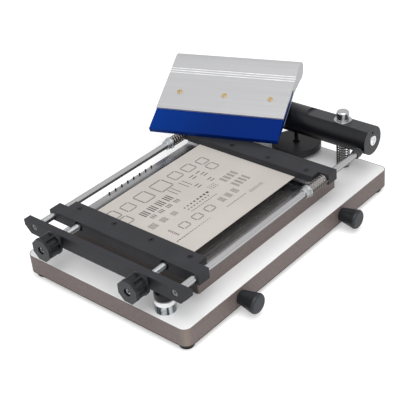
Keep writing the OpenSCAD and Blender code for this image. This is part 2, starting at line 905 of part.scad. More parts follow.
module front_tension_bar() {
    in_frame() color(black) difference() {
        tension_bar(front_bar, 1);
        for (side = [-1, 1]) {
            translate([side * spindle_span / 2, front_bar - 1, rod_z]) along_y(spindle_spot_r, 5);
            translate([side * spindle_span / 2, front_bar - 1, rod_z]) along_y(spindle_d / 2, spindle_grip + 1);
        }
    }
}

module front_jaw() {
    in_frame() color("#b5b6b8") jaw(front_bar, 1);
}

module front_clamp_screws() {
    in_frame() color("#1b1c1e") clamp_screws(front_bar, 1);
}

module tension_spindles() {
    reach = front_bar + spindle_grip - crossbar_y + star_hub_l + star_l - 2;
    in_frame() color("#b4bcbf") for (side = [-1, 1]) {
        translate([side * spindle_span / 2, front_bar + spindle_grip - reach, rod_z]) difference() {
            along_y(spindle_d / 2, reach);
            translate([0, -1, 0]) rotate([-90, 0, 0]) hexagon(4, 4);
        }
    }
}

module stencil() {
    y0 = front_bar + beam_d + 1;
    y1 = rear_bar - beam_d - 1;
    in_frame() color("#c9c4bf") difference() {
        translate([-stencil_w / 2, y0, stencil_z]) cube([stencil_w, y1 - y0, stencil_t]);
        clamp_places(front_bar, 1) translate([0, 0, -bar_h]) cylinder(h = bar_h, r = clamp_hole_r);
        clamp_places(rear_bar, -1) translate([0, 0, -bar_h]) cylinder(h = bar_h, r = clamp_hole_r);
    }
}

insert_r = 5.5;
insert_drop = 6;
face_t = 5;

// A moulded knob: round flange, barrel with eight grooves and an eight-sided face plate
module star_knob(side) {
    lobes = 8;
    groove_r = 5.5;
    flange_t = 3;
    in_frame() color("#2a2b2d") translate([side * spindle_span / 2, crossbar_y - seat_gap, rod_z])
        rotate([90, 0, 0]) difference() {
            union() {
                cylinder(h = star_hub_l + star_l - 1, r = 9);
                translate([0, 0, star_hub_l - flange_t]) cylinder(h = flange_t, d = star_d - 1);
                difference() {
                    translate([0, 0, star_hub_l - 1]) cylinder(h = star_l - face_t + 2, d = star_d - 2);
                    for (i = [0:lobes - 1]) {
                        rotate([0, 0, 360 * i / lobes]) translate([star_d / 2 + 1, 0, star_hub_l - 2])
                            cylinder(h = star_l, r = groove_r, $fn = 48);
                    }
                }
                rotate([0, 0, 180 / lobes]) translate([0, 0, star_hub_l + star_l - face_t])
                    cylinder(h = face_t, d = star_d, $fn = lobes);
            }
            translate([0, 0, -1]) cylinder(h = star_hub_l + star_l + 2, r = insert_r);
        }
}

module star_knob_left() {
    star_knob(-1);
}

module star_knob_right() {
    star_knob(1);
}

// Threaded inserts moulded into the star knobs
module knob_insert(side) {
    in_frame() color("#8f9194") translate([side * spindle_span / 2, crossbar_y - seat_gap, rod_z])
        rotate([90, 0, 0]) difference() {
            cylinder(h = star_hub_l + star_l - insert_drop, r = insert_r);
            translate([0, 0, -1]) cylinder(h = star_hub_l + star_l + 2, r = spindle_d / 2 + run_fit);
        }
}

module knob_inserts_left() {
    knob_insert(-1);
}

module knob_inserts_right() {
    knob_insert(1);
}

module rear_tension_bar() {
    in_frame() color(black) tension_bar(rear_bar, -1);
}

module rear_jaw() {
    in_frame() color("#b5b6b8") jaw(rear_bar, -1);
}

module rear_clamp_screws() {
    in_frame() color("#1b1c1e") clamp_screws(rear_bar, -1);
}

// The squeegee is drawn upright, then leaned back: local X along it, Y through it, Z up it
module squeegee_pose() {
    in_frame() translate([squeegee_right, squeegee_y, edge_z])
        rotate([-squeegee_tilt, 0, squeegee_turn]) translate([0, -edge_t, 0]) children();
}

// Extrudes an outline drawn as thickness and height along the whole squeegee
module along_squeegee() {
    translate([-squeegee_w, 0, 0]) rotate([90, 0, 90]) linear_extrude(squeegee_w) children();
}

module handle_outline() {
    polygon(concat(
        [[0, blade_bare], [plate_t, blade_bare], [plate_t, grip_top], [grip_t, grip_top], [grip_t, neck_h]],
        arc(crown_r, crown_z, crown_r, -crown_from, 180, 28)
    ));
}

module handle_hollow() {
    inner_r = crown_r - handle_wall;
    polygon(concat(
        [[handle_wall, neck_h], [grip_t - handle_wall, neck_h]],
        arc(crown_r, crown_z, inner_r, -crown_from, 180, 24)
    ));
}

module squeegee_screw_places() {
    for (i = [-1:1]) {
        translate([-squeegee_w / 2 + i * squeegee_pitch, 0, squeegee_screw_h]) children();
    }
}

module squeegee_handle() {
    squeegee_pose() color("#c3c4c7") difference() {
        along_squeegee() difference() {
            handle_outline();
            handle_hollow();
            for (i = [0:2]) {
                translate([0, grip_top + 14 + 4.6 * i]) circle(r = 0.7, $fn = 24);
            }
        }
        squeegee_screw_places() along_y(2.3, plate_t + 1);
    }
}

module squeegee_end_plugs() {
    plug_l = 5;
    squeegee_pose() color("#9a9b9e") for (x = [-squeegee_w, -plug_l]) {
        translate([x, 0, 0]) rotate([90, 0, 90]) linear_extrude(plug_l) handle_hollow();
    }
}

module squeegee_clamp_strip() {
    squeegee_pose() color("#b9babd") difference() {
        translate([-squeegee_w, edge_t, blade_bare - 3])
            cube([squeegee_w, plate_t, grip_top - blade_bare + 3]);
        squeegee_screw_places() along_y(2, grip_t + 1);
    }
}

module squeegee_blade() {
    blade_top = grip_top - 4;
    squeegee_pose() color("#123a9c") difference() {
        translate([-squeegee_w, plate_t, 0]) cube([squeegee_w, blade_t, blade_top]);
        squeegee_screw_places() along_y(2.3, grip_t + 1);
    }
}

module squeegee_screws() {
    squeegee_pose() color("#c39a4e") squeegee_screw_places() difference() {
        union() {
            along_y(2, grip_t - 0.5);
            translate([0, -2, 0]) along_y(4, 2);
        }
        for (turn = [0, 90]) {
            translate([0, -1.2, 0]) rotate([0, turn, 0]) cube([5, 1.8, 1], center = true);
        }
    }
}

base_board();
base_laminate();
edge_band();
base_feet();
foot_screws();
adjuster_bushes();
table_board();
table_sheet();
register_strip();
register_pins();
drive_nut_front();
drive_nut_rear();
adjuster_knob_front();
adjuster_screw_front();
adjuster_knob_rear();
adjuster_screw_rear();
stop_foot();
stop_ring();
stop_pad();
hinge_posts();
post_springs();
hinge_bar();
hinge_pivots();
post_washers();
post_nut_left();
post_nut_right();
height_handwheel();
height_spindle();
thrust_washer();
end_cap_left();
end_cap_right();
cap_set_screws();
guide_rod_left();
guide_rod_right();
rod_lock_nuts();
rod_collars();
rod_springs();
front_crossbar();
crossbar_screws();
front_tension_bar();
front_jaw();
front_clamp_screws();
tension_spindles();
stencil();
star_knob_left();
star_knob_right();
knob_inserts_left();
knob_inserts_right();
rear_tension_bar();
rear_jaw();
rear_clamp_screws();
squeegee_handle();
squeegee_end_plugs();
squeegee_clamp_strip();
squeegee_blade();
squeegee_screws();
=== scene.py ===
# %% [markdown]
# # A tabletop screen printing press, dressed for its portrait
# This lesson takes the bare solids of a small manual stencil printer and gives them their finishes: a
# laminated base board, a polished print table, a black anodised tension frame on bright rods, a
# stencil with a fine pad pattern, two kinds of springs and a loose squeegee. Each one already sits in
# its place, in metres, so nothing here is moved: the work is in edges, surfaces and small repeated
# parts.

# %% Load the solids
import json
import math

import bmesh
import bpy
from mathutils import Matrix, Vector


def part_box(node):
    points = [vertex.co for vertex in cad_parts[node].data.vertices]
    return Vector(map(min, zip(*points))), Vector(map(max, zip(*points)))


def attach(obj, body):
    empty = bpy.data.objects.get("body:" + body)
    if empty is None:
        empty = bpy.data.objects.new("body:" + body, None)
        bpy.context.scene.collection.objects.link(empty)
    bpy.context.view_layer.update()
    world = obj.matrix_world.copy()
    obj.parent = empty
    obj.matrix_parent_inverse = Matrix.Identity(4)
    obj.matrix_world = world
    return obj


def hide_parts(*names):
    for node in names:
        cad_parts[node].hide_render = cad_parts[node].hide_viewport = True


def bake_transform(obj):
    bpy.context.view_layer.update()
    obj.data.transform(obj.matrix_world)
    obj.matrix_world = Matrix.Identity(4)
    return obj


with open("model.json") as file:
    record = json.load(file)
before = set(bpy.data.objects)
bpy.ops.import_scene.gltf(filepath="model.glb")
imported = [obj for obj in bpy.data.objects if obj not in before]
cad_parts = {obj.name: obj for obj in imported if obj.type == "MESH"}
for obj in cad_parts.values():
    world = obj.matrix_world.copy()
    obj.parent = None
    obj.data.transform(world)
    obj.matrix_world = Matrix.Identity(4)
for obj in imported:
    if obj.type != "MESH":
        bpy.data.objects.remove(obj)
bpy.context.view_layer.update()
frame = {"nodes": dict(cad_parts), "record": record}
record = frame["record"]
body_of_node = {n: b for b, nodes in record["behaviour"]["bodies"].items() for n in nodes}
slot_of_node = {s["node"]: s["material_slot"] for s in record["subparts"]}
MM = 0.001

# %% [markdown]
# ## The camera
# A portrait of a real object has a real camera behind it. Its place was worked out from the photo's
# straight edges, which run to vanishing points, and it is written down here as a distance from one
# corner of the base board: right, back and up. The three angles are its bearing round the press, its
# height above the horizon and a small roll, because the picture was taken slightly askew.

# %% Camera
board_low, board_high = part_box("base_board")
EDGE_BAND = 1.0 * MM
near_corner = Vector((board_high[0] + EDGE_BAND, board_low[1] - EDGE_BAND, board_high[2] + EDGE_BAND))
CAMERA_OFFSET = Vector((0.67686, -0.66299, 0.78397))
BEARING, RISE, ROLL = math.radians(43.54), math.radians(32.113), math.radians(-5.706)
SENSOR_WIDTH, FOCAL_LENGTH = 36.0, 89.06
back = Vector((math.sin(BEARING) * math.cos(RISE), -math.cos(BEARING) * math.cos(RISE), math.sin(RISE)))
level = (-back).to_track_quat("-Z", "Y").to_matrix().to_4x4()
camera_data = bpy.data.cameras.new("photo_camera")
camera_data.sensor_width, camera_data.lens = SENSOR_WIDTH, FOCAL_LENGTH
camera = bpy.data.objects.new("photo_camera", camera_data)
camera.matrix_world = Matrix.Translation(near_corner + CAMERA_OFFSET) @ level @ Matrix.Rotation(ROLL, 4, "Z")
bpy.context.scene.collection.objects.link(camera)
bpy.context.scene.camera = camera
print("camera stands", round(CAMERA_OFFSET.length, 3), "m from the near corner")

# %% [markdown]
# ## A small workshop for finishes
# Every finish below is a Principled shader fed by a few noise textures. Noise reads Object
# coordinates, which are metres in the press's own frame, so a scale of 1000 gives grain of about a
# millimetre and the pattern stays on the piece when it moves. A picture texture could do the same,
# but it would need unwrapping and it would blur up close; noise has no seams and no size limit.
# These helpers add nodes to a material and feed their sockets with a number or another socket.

# %% Helpers that place and join nodes
MICRON = 0.000001
NOISE_LOW, NOISE_HIGH = 0.3, 0.7


def new_node(finish, kind):
    return finish.node_tree.nodes.new("ShaderNode" + kind)


def feed(finish, value, socket):
    if isinstance(value, bpy.types.NodeSocket):
        finish.node_tree.links.new(value, socket)
    else:
        socket.default_value = value


def new_finish(name):
    finish = bpy.data.materials.new(name)
    finish.use_nodes = True
    finish.node_tree.nodes.clear()
    shader = new_node(finish, "BsdfPrincipled")
    feed(finish, shader.outputs["BSDF"], new_node(finish, "OutputMaterial").inputs["Surface"])
    return finish, shader


def place(finish):
    return new_node(finish, "TexCoord").outputs["Object"]


def noise(finish, scale, stretch=(1, 1, 1), detail=4.0, roughness=0.55, start=None):
    mapping = new_node(finish, "Mapping")
    mapping.inputs["Scale"].default_value = stretch
    feed(finish, place(finish) if start is None else start, mapping.inputs["Vector"])
    grain = new_node(finish, "TexNoise")
    grain.inputs["Scale"].default_value = scale
    grain.inputs["Detail"].default_value = detail
    grain.inputs["Roughness"].default_value = roughness
    feed(finish, mapping.outputs["Vector"], grain.inputs["Vector"])
    return grain.outputs["Fac"]


def ramp(finish, value, stops):
    node = new_node(finish, "ValToRGB")
    elements = node.color_ramp.elements
    while len(elements) < len(stops):
        elements.new(0.5)
    for element, (position, colour) in zip(elements, stops):
        element.position = position
        element.color = (*colour, 1.0)
    feed(finish, value, node.inputs["Fac"])
    return node.outputs["Color"]


print("helpers for nodes ready")

# %% [markdown]
# ## Three habits of every finish
# Nearly every real surface does three things: its colour is slightly cloudy, its gloss varies from
# place to place, and it isn't quite flat. mottle, roughen and bump add these one by one. Noise stays
# between about 0.3 and 0.7, so those two values are taken as its darkest and brightest. Depths are
# in microns, because a bump deeper than the real grain makes a surface look like orange skin.

# %% Colour, gloss and grain
def mottle(finish, shader, scale, colour, share, low=NOISE_LOW, high=NOISE_HIGH):
    darker, lighter = (tuple(min(1.0, c * (1.0 + change)) for c in colour) for change in (-share, share))
    tint = ramp(finish, noise(finish, scale), [(low, darker), (high, lighter)])
    feed(finish, tint, shader.inputs["Base Color"])


def roughen(finish, shader, value, low, high):
    node = new_node(finish, "MapRange")
    node.inputs["From Min"].default_value = NOISE_LOW
    node.inputs["From Max"].default_value = NOISE_HIGH
    node.inputs["To Min"].default_value = low
    node.inputs["To Max"].default_value = high
    feed(finish, value, node.inputs["Value"])
    feed(finish, node.outputs["Result"], shader.inputs["Roughness"])


def bump(finish, shader, height, depth):
    node = new_node(finish, "Bump")
    node.inputs["Distance"].default_value = depth
    feed(finish, height, node.inputs["Height"])
    feed(finish, node.outputs["Normal"], shader.inputs["Normal"])


print("darkest and brightest noise:", NOISE_LOW, NOISE_HIGH)

# %% [markdown]
# ## Reading where a point lies
# Some finishes change along the piece or with the way a face looks. These helpers read one axis of a
# vector, turn a span of it into 0 to 1, and mix two colours. by_facing reads the way a face looks:
# 0 is straight toward the low end of the axis, 1 straight toward the high end. The Normal it reads
# belongs to the piece itself, so what it shades stays in place when the camera moves.

# %% Helpers for place and facing
def along_axis(finish, vector, axis):
    split = new_node(finish, "SeparateXYZ")
    feed(finish, vector, split.inputs["Vector"])
    return split.outputs[axis]


def share_between(finish, value, low, high):
    node = new_node(finish, "MapRange")
    node.inputs["From Min"].default_value = low
    node.inputs["From Max"].default_value = high
    feed(finish, value, node.inputs["Value"])
    return node.outputs["Result"]


def by_facing(finish, axis, stops):
    normal = new_node(finish, "TexCoord").outputs["Normal"]
    return ramp(finish, share_between(finish, along_axis(finish, normal, axis), -1.0, 1.0), stops)


def number(finish, operation, *values):
    node = new_node(finish, "Math")
    node.operation = operation
    for value, socket in zip(values, node.inputs):
        feed(finish, value, socket)
    return node.outputs["Value"]


def mixed(finish, amount, first, second, blend="MIX"):
    node = new_node(finish, "Mix")
    node.data_type = "RGBA"
    node.blend_type = blend
    factor, colour_a, colour_b, colour_out = 0, 6, 7, 2
    for value, index in ((amount, factor), (first, colour_a), (second, colour_b)):
        feed(finish, value, node.inputs[index])
    return node.outputs[colour_out]


print("helpers for place and facing ready")

# %% [markdown]
# ## Moulded and rubbery finishes
# Knobs, feet and pads are moulded: one even colour, a very fine orange-peel surface, and a sheen
# that varies a little where hands have polished it. One function makes them all, because only
# colour, gloss and grain size differ between the knobs, the white ring and the rubber.

# %% Moulded finishes
HAND_CLOUDS, HAND_POLISH = 60.0, 35.0


def moulded(name, colour, gloss, grain=900.0, depth=20 * MICRON, specular=0.5):
    finish, shader = new_finish(name)
    mottle(finish, shader, HAND_CLOUDS, colour, share=0.12, low=0.35, high=0.65)
    roughen(finish, shader, noise(finish, HAND_POLISH), low=gloss - 0.06, high=gloss + 0.08)
    shader.inputs["Specular IOR Level"].default_value = specular
    bump(finish, shader, noise(finish, grain, detail=2.0), depth)
    return finish


finishes = {
    "knob": moulded("black knob moulding", (0.026, 0.028, 0.032), gloss=0.44, specular=0.25),
    "rubber": moulded("black rubber", (0.004, 0.004, 0.005), gloss=0.14, grain=300.0, depth=4 * MICRON,
                      specular=0.3),
    "ring": moulded("white ring moulding", (0.92, 0.92, 0.91), gloss=0.35),
}
print("moulded finishes:", ", ".join(finishes))

# %% [markdown]
# ## The squeegee's blade
# The blade is cast from a translucent blue rubber that looks deeper toward its right end. Light
# scattering inside it could show that, but it would be slow and noisy for so small a change, so its
# colour is a long ramp instead, laid from the blade's left end to its right end.

# %% Blade finish
BLADE_GRAIN = 260.0
BLADE_BLUES = [(0.0, (0.0012, 0.034, 0.235)), (0.55, (0.0009, 0.018, 0.145)), (1.0, (0.0004, 0.018, 0.160))]
blade_left, blade_right = (corner[0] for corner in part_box("squeegee_blade"))


def cast_blade():
    finish, shader = new_finish("blue squeegee rubber")
    along = share_between(finish, along_axis(finish, place(finish), "X"), blade_left, blade_right)
    feed(finish, ramp(finish, along, BLADE_BLUES), shader.inputs["Base Color"])
    roughen(finish, shader, noise(finish, HAND_POLISH), low=0.30, high=0.42)
    shader.inputs["Specular IOR Level"].default_value = 0.06
    bump(finish, shader, noise(finish, BLADE_GRAIN, detail=2.0), depth=10 * MICRON)
    return finish


finishes["blade"] = cast_blade()
print("blade runs over", round((blade_right - blade_left) / MM, 1), "mm")

# %% [markdown]
# ## Bright metal
# Bright metal has little colour of its own: what the eye reads is the smear of its reflections.
# Drawn and ground bars carry fine scratches along their length, so their noise is drawn out fifty
# times along one axis and drives both roughness and a very shallow bump. A rod over a dark table
# mirrors it on its underside, so the rods get a painted reflection: their lower half is darker in
# colour, read from the Normal. The turned stop gets upright light and dark bands of painted
# reflection. The knobs' inserts use the moulded recipe: as bare metal they would only mirror the
# black knob around them.

# %% Bright metal finishes
EVEN, ALONG_X, ALONG_Y, ALONG_Z = (1, 1, 1), (0.02, 1, 1), (1, 0.02, 1), (1, 1, 0.02)
METAL_CLOUDS, SCRATCHES = 45.0, 600.0
UNDERSIDE, SHOULDER = 0.36, 0.56
BANDS, TOOL_MARKS, TOOL_STRETCH = 170.0, 500.0, (1, 1, 0.1)


def metal(name, colour, gloss, lines=EVEN, grain=SCRATCHES, depth=4 * MICRON, spots=0.06):
    finish, shader = new_finish(name)
    scratches = noise(finish, grain, lines, detail=3.0)
    mottle(finish, shader, METAL_CLOUDS, colour, share=spots)
    roughen(finish, shader, scratches, low=gloss - 0.08, high=gloss + 0.10)
    shader.inputs["Metallic"].default_value = 1.0
    bump(finish, shader, scratches, depth)
    return finish


def ground_rod_painted_reflection(name, bright, dark, gloss, lines):
    finish, shader = new_finish(name)
    scratches = noise(finish, SCRATCHES, lines, detail=3.0)
    # Painted reflection: the base colour darkens toward the rod's underside.
    feed(finish, by_facing(finish, "Z", [(UNDERSIDE, dark), (SHOULDER, bright)]), shader.inputs["Base Color"])
    roughen(finish, shader, scratches, low=gloss - 0.06, high=gloss + 0.10)
    shader.inputs["Metallic"].default_value = 1.0
    bump(finish, shader, scratches, depth=4 * MICRON)
    return finish


def painted_reflection_bands(name, dark, bright, gloss):
    finish, shader = new_finish(name)
    bands = noise(finish, BANDS, ALONG_Z, detail=1.0)
    # Painted reflection: upright light and dark bands in the base colour.
    feed(finish, ramp(finish, bands, [(0.40, dark), (0.60, bright)]), shader.inputs["Base Color"])
    roughen(finish, shader, noise(finish, TOOL_MARKS, TOOL_STRETCH), low=gloss - 0.04, high=gloss + 0.06)
    shader.inputs["Metallic"].default_value = 1.0
    return finish


finishes.update({
    "rod": ground_rod_painted_reflection("ground rod steel with painted reflection", (0.52, 0.52, 0.53), (0.07, 0.065, 0.065), 0.20, ALONG_Y),
    "steel": metal("zinc plated steel", (0.50, 0.515, 0.525), 0.34, grain=350.0, depth=10 * MICRON),
    "foot": painted_reflection_bands("turned stop steel with painted reflection", (0.045, 0.060, 0.065), (0.62, 0.66, 0.68), 0.14),
    "jaw": metal("clear anodised jaw", (0.60, 0.61, 0.62), 0.30, ALONG_X),
    "brass": metal("turned brass", (0.66, 0.51, 0.29), 0.28, grain=500.0),
    "spring": metal("spring wire", (0.24, 0.215, 0.20), 0.30, grain=300.0, depth=10 * MICRON),
    # Painted shade: the post springs' wire is darker because they stand in the hinge bar's shade.
    "post spring": metal("spring wire with painted shade", (0.10, 0.09, 0.085), 0.36, grain=300.0, depth=10 * MICRON),
    "pivot": metal("bright pivot steel", (0.88, 0.89, 0.90), 0.46, spots=0.02),
    "insert": moulded("bright insert steel", (0.84, 0.85, 0.86), gloss=0.35),
    "sheet": metal("polished table steel", (0.43, 0.43, 0.44), 0.24, ALONG_Y, grain=260.0,
                   depth=20 * MICRON),
})
print("finishes so far:", len(finishes))

# %% [markdown]
# ## Black metal
# Anodised aluminium is duller than bare metal, because its surface is etched before it is dyed. The
# hinge bar's front gets painted shade, as it lies in the press's own shade, and the knobs get painted
# highlights: the star knobs' faces and the tapered knobs' right ends are lighter than their sides. So
# these get two blacks that change with the way a face looks. One plain black would look flat here.

# %% Black metal finishes
BRUSH, ETCH, DYE_CLOUDS = 500.0, 2600.0, 25.0


def dull_surface(finish, shader, gloss, lines, specular):
    brushed = noise(finish, BRUSH, lines, detail=3.0)
    roughen(finish, shader, brushed, low=gloss - 0.05, high=gloss + 0.07)
    shader.inputs["Specular IOR Level"].default_value = specular
    bump(finish, shader, noise(finish, ETCH, detail=2.0), depth=12 * MICRON)


def anodised(name, colour, gloss, lines=EVEN):
    finish, shader = new_finish(name)
    mottle(finish, shader, DYE_CLOUDS, colour, share=0.15)
    dull_surface(finish, shader, gloss, lines, specular=0.2)
    return finish


def black_with_painted_light(name, axis, stops, gloss, lines=EVEN):
    finish, shader = new_finish(name)
    # Painted light and shade: the base colour follows the way each face looks.
    feed(finish, by_facing(finish, axis, stops), shader.inputs["Base Color"])
    dull_surface(finish, shader, gloss, lines, specular=0.3)
    return finish


FRONT, BEYOND_FRONT = 0.22, 0.42
SIDE, RIGHT_END = 0.60, 0.90
finishes.update({
    "bar": anodised("black anodised bar", (0.027, 0.0275, 0.032), 0.46, ALONG_X),
    "bar screw": anodised("grey bar screw steel", (0.20, 0.20, 0.205), 0.40),
    "wheel": anodised("black handwheel enamel", (0.018, 0.018, 0.022), 0.38),
    "screw": anodised("blackened screw steel", (0.008, 0.008, 0.009), 0.32),
    "oxide": anodised("grey oxide steel", (0.060, 0.061, 0.065), 0.40),
    # Painted shade on the hinge bar's front; painted highlight on the star knobs' faces and the tapered knobs'
    # right ends.
    "hinge": black_with_painted_light("black hinge bar with painted shade", "Y", [(FRONT, (0.003, 0.0032, 0.006)),
                                               (BEYOND_FRONT, (0.036, 0.0365, 0.040))], 0.36, ALONG_X),
    "star": black_with_painted_light("black star knob with painted highlight", "Y", [(FRONT, (0.027, 0.029, 0.033)),
                                              (BEYOND_FRONT, (0.009, 0.0095, 0.012))], 0.30),
    "taper": black_with_painted_light("black tapered knob with painted highlight", "X", [(SIDE, (0.014, 0.015, 0.018)),
                                                  (RIGHT_END, (0.028, 0.030, 0.034))], 0.36),
})
print("finishes so far:", len(finishes))

# %% [markdown]
# ## The squeegee's handle profile
# The handle is an extruded, clear anodised profile. It looks nearly white with a faint lilac cast,
# and the drawing die leaves long, very soft streaks along it. The squeegee lies turned and tilted,
# so its streaks run neither along X nor along Y: a Mapping node turns the coordinates first.

# %% Handle profile finish
SQUEEGEE_TURN = math.radians(20.5)
STREAKS, STREAKS_ALONG_X = 420.0, (0.01, 1, 1)
STREAK_GREYS = [(0.35, (0.52, 0.52, 0.53)), (0.65, (0.545, 0.545, 0.555))]


def drawn_profile():
    finish, shader = new_finish("drawn handle profile")
    turn = new_node(finish, "Mapping")
    turn.vector_type = "TEXTURE"
    turn.inputs["Rotation"].default_value = (0, 0, SQUEEGEE_TURN)
    feed(finish, place(finish), turn.inputs["Vector"])
    streaks = noise(finish, STREAKS, STREAKS_ALONG_X, detail=2.0, roughness=0.5, start=turn.outputs["Vector"])
    feed(finish, ramp(finish, streaks, STREAK_GREYS), shader.inputs["Base Color"])
    roughen(finish, shader, streaks, low=0.34, high=0.46)
    shader.inputs["Metallic"].default_value = 0.55
    bump(finish, shader, streaks, depth=6 * MICRON)
    return finish


finishes["handle"] = drawn_profile()
print("handle streaks turned by", round(math.degrees(SQUEEGEE_TURN), 1), "degrees")

# %% [markdown]
# ## Laminate and stencil sheet
# The base board's top is a cool white laminate with a fine pearl texture. The stencil is a thin,
# matt, warm grey sheet. The grain of both is too fine to see as such: it only softens the
# reflections. The polished sheet on the print table was made with the bright metals above. It
# mirrors the stencil, nearly black close to the stencil's edge and pale further out.

# %% Sheet finishes
def plain_sheet(name, clouds, dark, pale, grain, gloss_low, gloss_high, depth, specular=0.5):
    finish, shader = new_finish(name)
    tint = ramp(finish, noise(finish, clouds), [(NOISE_LOW, dark), (NOISE_HIGH, pale)])
    feed(finish, tint, shader.inputs["Base Color"])
    fine = noise(finish, grain, detail=2.0)
    roughen(finish, shader, fine, gloss_low, gloss_high)
    shader.inputs["Specular IOR Level"].default_value = specular
    bump(finish, shader, fine, depth)
    return finish


finishes["laminate"] = plain_sheet(
    "white laminate", clouds=14.0, dark=(0.86, 0.86, 0.865), pale=(0.89, 0.89, 0.89), grain=1400.0,
    gloss_low=0.30, gloss_high=0.46, depth=10 * MICRON)
finishes["stencil"] = plain_sheet(
    "matt stencil sheet", clouds=9.0, dark=(0.505, 0.470, 0.442), pale=(0.565, 0.528, 0.500), grain=1800.0,
    gloss_low=0.52, gloss_high=0.68, depth=6 * MICRON, specular=0.1)
print("finishes so far:", len(finishes))

# %% [markdown]
# ## Painted corner highlight and a darker bottom on the edge band
# The boards' cut edges are covered by a brown band. Where it bends round a corner it gets a paler
# painted highlight, so one mask finds the base's four corners: it is 1 only where a point is far out
# both in X and in Y. Along the bottom the band is darker, in a narrow strip at its lower edge.

# %% Masks for the edge band
CORNER_REACH, CORNER_CORE = 12.0 * MM, 0.35
FOOT_REACH, FOOT_CORE = 2.2 * MM, 0.6
FOOT_BROWN = (0.035, 0.027, 0.025, 1.0)
band_low, band_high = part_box("edge_band")
band_middle = (band_low + band_high) / 2
band_half = (band_high - band_low) / 2


# Painted highlight: 1 where the band bends round the base's corners.
def corner_highlight_mask(finish):
    far_out = []
    for index, axis in enumerate("XY"):
        offset = number(finish, "SUBTRACT", along_axis(finish, place(finish), axis), band_middle[index])
        distance = number(finish, "ABSOLUTE", offset)
        far_out.append(share_between(finish, distance, band_half[index] - CORNER_REACH,
                                     band_half[index] - CORNER_CORE * CORNER_REACH))
    return number(finish, "MULTIPLY", *far_out)


def dark_foot(finish, colour):
    height = along_axis(finish, place(finish), "Z")
    above_foot = share_between(finish, height, band_low[2] + FOOT_CORE * FOOT_REACH, band_low[2] + FOOT_REACH)
    return mixed(finish, above_foot, FOOT_BROWN, colour)


print("edge band spans", [round(side / MM, 1) for side in 2 * band_half], "mm")

# %% [markdown]
# ## The printed edges
# The edges are printed like fine-grained wood: short dark flecks drawn out along the edge over a
# warm grey-brown. One function prints the base's core, its band and the table's board. The band
# adds the painted highlight on its corners and the darker bottom; the table's front gets painted
# shade, because the tension bar hangs over it.

# %% Edge finishes
FLECKS, FLECK_STRETCH = 700.0, (0.25, 0.25, 1.6)
EDGE_BROWNS = [(0.28, (0.085, 0.062, 0.058)), (0.5, (0.160, 0.126, 0.119)), (0.75, (0.222, 0.180, 0.169))]
CORNER_HIGHLIGHT_BROWN, CORNER_HIGHLIGHT_SHARE = (0.26, 0.205, 0.17, 1.0), 0.6
FRONT_SHADE = [(0.0, (0.30, 0.30, 0.30)), (0.25, (1.0, 1.0, 1.0))]


def edge_print(name, banded=False, shaded_front=False):
    finish, shader = new_finish(name)
    flecks = noise(finish, FLECKS, FLECK_STRETCH, detail=6.0, roughness=0.7)
    brown = ramp(finish, flecks, EDGE_BROWNS)
    if banded:
        # Painted highlight on the band's corners.
        painted_highlight_share = number(finish, "MULTIPLY", corner_highlight_mask(finish), CORNER_HIGHLIGHT_SHARE)
        brown = dark_foot(finish, mixed(finish, painted_highlight_share, brown, CORNER_HIGHLIGHT_BROWN))
    if shaded_front:
        # Painted shade on the table's front faces, under the tension bar.
        brown = mixed(finish, 1.0, brown, by_facing(finish, "Y", FRONT_SHADE), blend="MULTIPLY")
    feed(finish, brown, shader.inputs["Base Color"])
    roughen(finish, shader, flecks, low=0.45, high=0.62)
    bump(finish, shader, flecks, depth=30 * MICRON)
    return finish


finishes["board"] = edge_print("brown board edge")
finishes["table edge"] = edge_print("brown table edge", shaded_front=True)
finishes["edge"] = edge_print("brown edge band", banded=True)
print("finishes in all:", len(finishes))

# %% [markdown]
# ## Two small helpers for meshes
# A modifier is a recipe that Blender works out afresh each time. The finished piece has to be a plain
# mesh, so finished_mesh works the recipe out once, keeps the result and throws the recipe away.

# %% Plain meshes
def finished_mesh(piece):
    graph = bpy.context.evaluated_depsgraph_get()
    mesh = bpy.data.meshes.new_from_object(piece.evaluated_get(graph))
    piece.modifiers.clear()
    piece.data = mesh
    return mesh


def link_piece(name, mesh):
    piece = bpy.data.objects.new(name, mesh)
    bpy.context.scene.collection.objects.link(piece)
    return piece


print("mesh helpers ready")

# %% [markdown]
# ## Breaking the edges
# No machined edge is perfectly sharp: a file or a cutter leaves a narrow bevel, and that bevel is
# what catches the light. The CAD solids have mathematically sharp edges, so each one is copied, its
# flat faces are merged back into single polygons, and a Bevel modifier rounds the edges that turn
# more than 35 degrees. A Weighted Normal modifier then lets the big faces decide the shading, so a
# flat face still looks flat beside its bevel. The copy stands in for the solid. Rounding in CAD
# would work too, but these fractions of a millimetre matter only to the eye.

# %% Dress a solid
SHARP_TURN, FLAT_TURN = math.radians(35.0), math.radians(0.6)
WELD = 0.001 * MM
BEVEL_STEPS = 2
STRONG_WEIGHT = 100
OWN_FINISH = {
    "table_board": "table edge", "hinge_bar": "hinge", "end_cap_left": "hinge", "end_cap_right": "hinge",
    "hinge_pivots": "pivot", "knob_inserts_left": "insert", "knob_inserts_right": "insert",
    "crossbar_screws": "bar screw", "star_knob_left": "star", "star_knob_right": "star",
    "adjuster_knob_front": "taper", "adjuster_knob_rear": "taper",
}


def merged_copy(node):
    mesh = frame["nodes"][node].data.copy()
    work = bmesh.new()
    work.from_mesh(mesh)
    bmesh.ops.remove_doubles(work, verts=work.verts, dist=WELD)
    bmesh.ops.dissolve_limit(work, angle_limit=FLAT_TURN, verts=work.verts, edges=work.edges)
    work.to_mesh(mesh)
    work.free()
    mesh.materials.clear()
    mesh.materials.append(finishes[OWN_FINISH.get(node, slot_of_node[node])])
    mesh.shade_smooth()
    mesh.set_sharp_from_angle(angle=SHARP_TURN)
    return mesh


